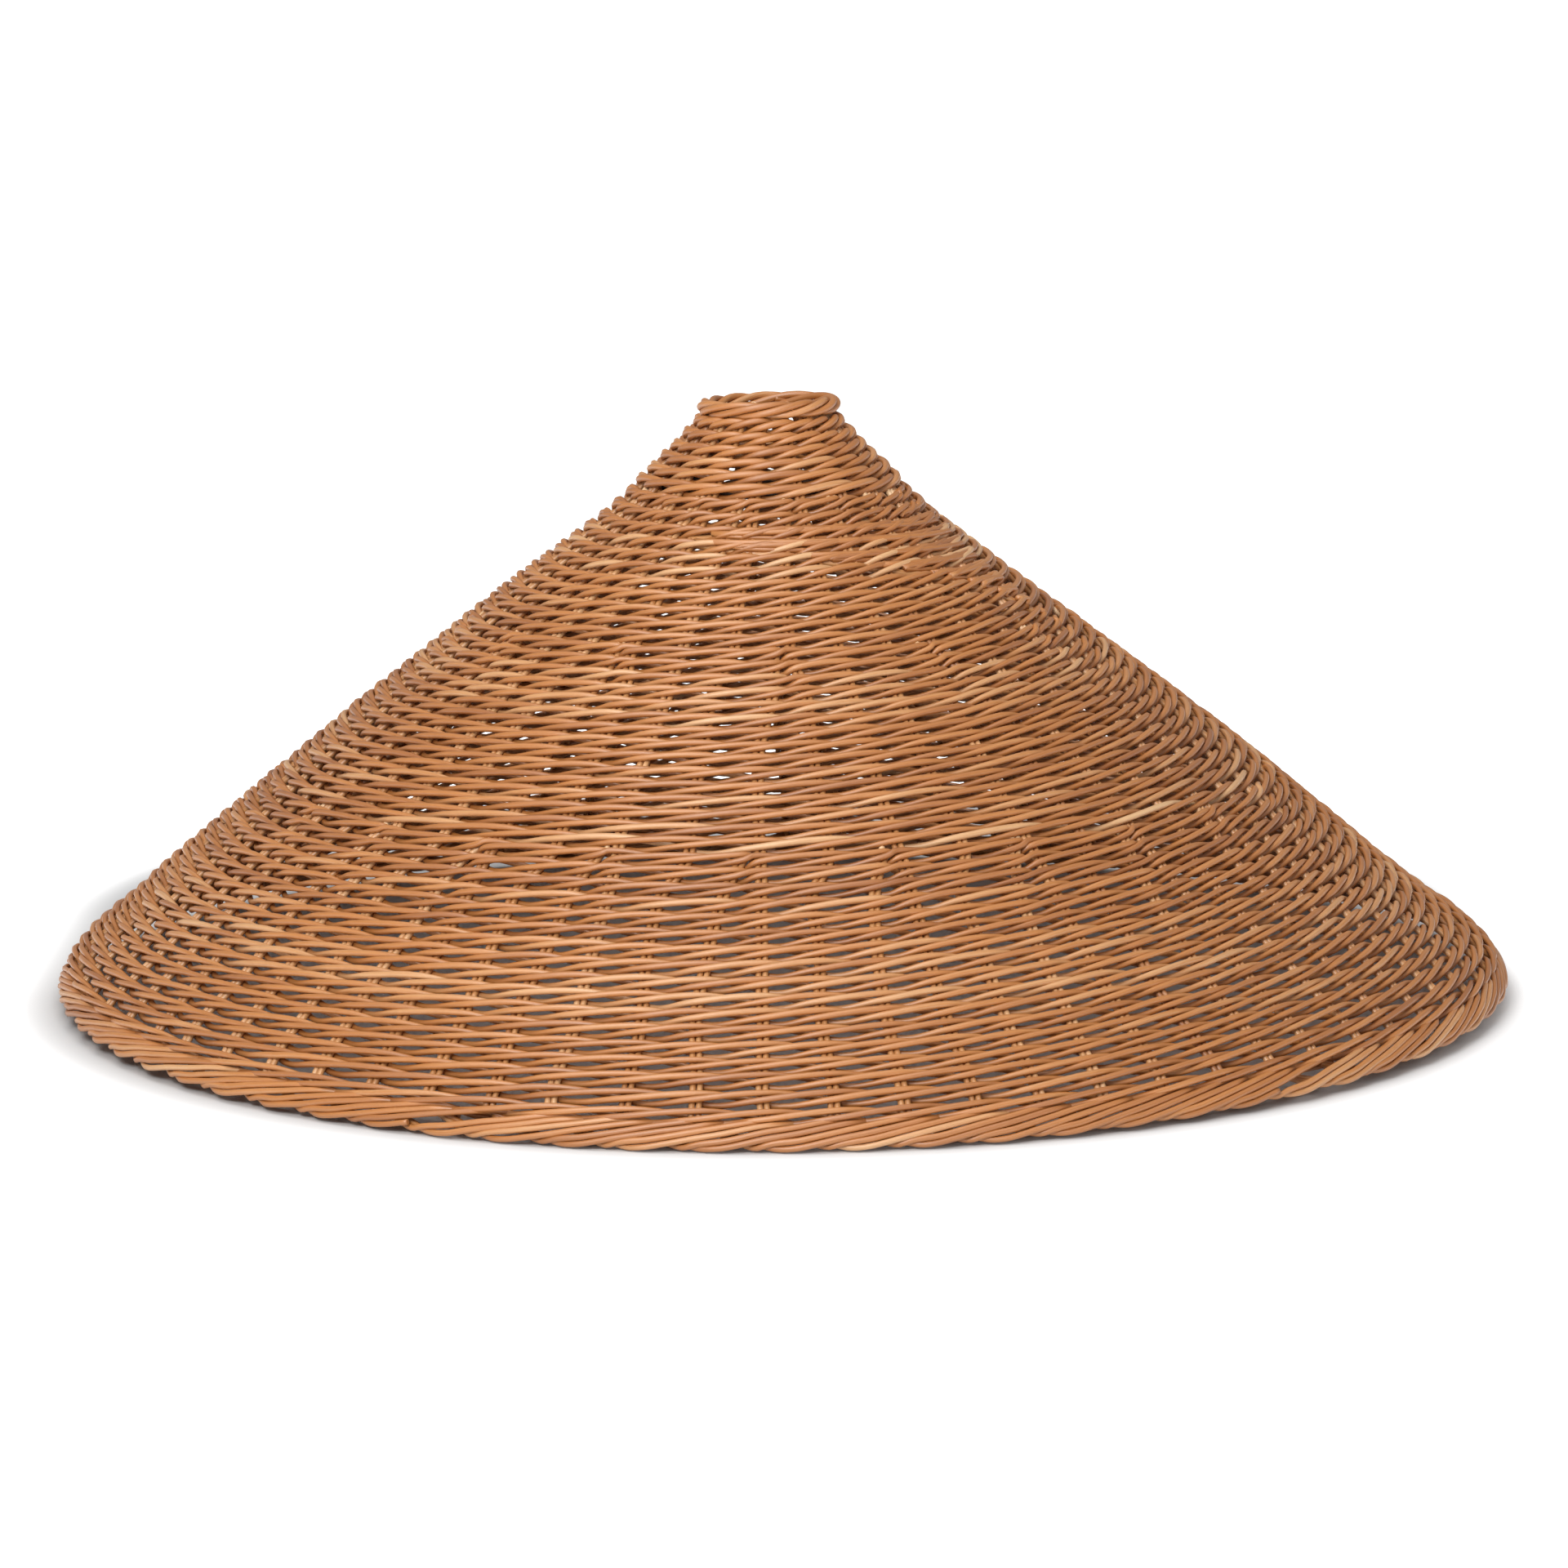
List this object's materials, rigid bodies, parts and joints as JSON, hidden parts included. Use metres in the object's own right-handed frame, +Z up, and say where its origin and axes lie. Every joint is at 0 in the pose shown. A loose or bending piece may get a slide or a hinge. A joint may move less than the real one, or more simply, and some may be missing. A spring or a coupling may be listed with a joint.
{
  "type": "conical woven lampshade",
  "caption": "Wide conical pendant lampshade woven from rattan, open at rim and neck, with rolled borders, inner stakes and a hidden wire lamp fitter.",
  "frame": {"origin": "the middle of the rim's circle, on the surface that the rim rests on", "axes": "+Z up the shade's axis from the rim to the neck; the pictured side faces -Y"},
  "size_m": [0.9, 0.9, 0.3672],
  "materials": {
    "rattan_weavers": "satin",
    "rattan_stakes": "satin",
    "fitter_steel": "satin"
  },
  "bodies": {
    "root": {"rim_border": "rattan_weavers", "lower_weave": "rattan_weavers", "middle_weave": "rattan_weavers", "upper_weave": "rattan_weavers", "neck_weave": "rattan_weavers", "neck_border": "rattan_weavers", "neck_stake_01": "rattan_stakes", "neck_stake_02": "rattan_stakes", "neck_stake_03": "rattan_stakes", "neck_stake_04": "rattan_stakes", "neck_stake_05": "rattan_stakes", "neck_stake_06": "rattan_stakes", "neck_stake_07": "rattan_stakes", "neck_stake_08": "rattan_stakes", "neck_stake_09": "rattan_stakes", "neck_stake_10": "rattan_stakes", "neck_stake_11": "rattan_stakes", "neck_stake_12": "rattan_stakes", "neck_stake_13": "rattan_stakes", "neck_stake_14": "rattan_stakes", "neck_stake_15": "rattan_stakes", "neck_stake_16": "rattan_stakes", "neck_stake_17": "rattan_stakes", "neck_stake_18": "rattan_stakes", "upper_bye_stake_01": "rattan_stakes", "upper_bye_stake_02": "rattan_stakes", "upper_bye_stake_03": "rattan_stakes", "upper_bye_stake_04": "rattan_stakes", "upper_bye_stake_05": "rattan_stakes", "upper_bye_stake_06": "rattan_stakes", "upper_bye_stake_07": "rattan_stakes", "upper_bye_stake_08": "rattan_stakes", "upper_bye_stake_09": "rattan_stakes", "upper_bye_stake_10": "rattan_stakes", "upper_bye_stake_11": "rattan_stakes", "upper_bye_stake_12": "rattan_stakes", "upper_bye_stake_13": "rattan_stakes", "upper_bye_stake_14": "rattan_stakes", "upper_bye_stake_15": "rattan_stakes", "upper_bye_stake_16": "rattan_stakes", "upper_bye_stake_17": "rattan_stakes", "upper_bye_stake_18": "rattan_stakes", "middle_bye_stake_01": "rattan_stakes", "middle_bye_stake_02": "rattan_stakes", "middle_bye_stake_03": "rattan_stakes", "middle_bye_stake_04": "rattan_stakes", "middle_bye_stake_05": "rattan_stakes", "middle_bye_stake_06": "rattan_stakes", "middle_bye_stake_07": "rattan_stakes", "middle_bye_stake_08": "rattan_stakes", "middle_bye_stake_09": "rattan_stakes", "middle_bye_stake_10": "rattan_stakes", "middle_bye_stake_11": "rattan_stakes", "middle_bye_stake_12": "rattan_stakes", "lamp_fitter": "fitter_steel"}
  },
  "joints": []
}
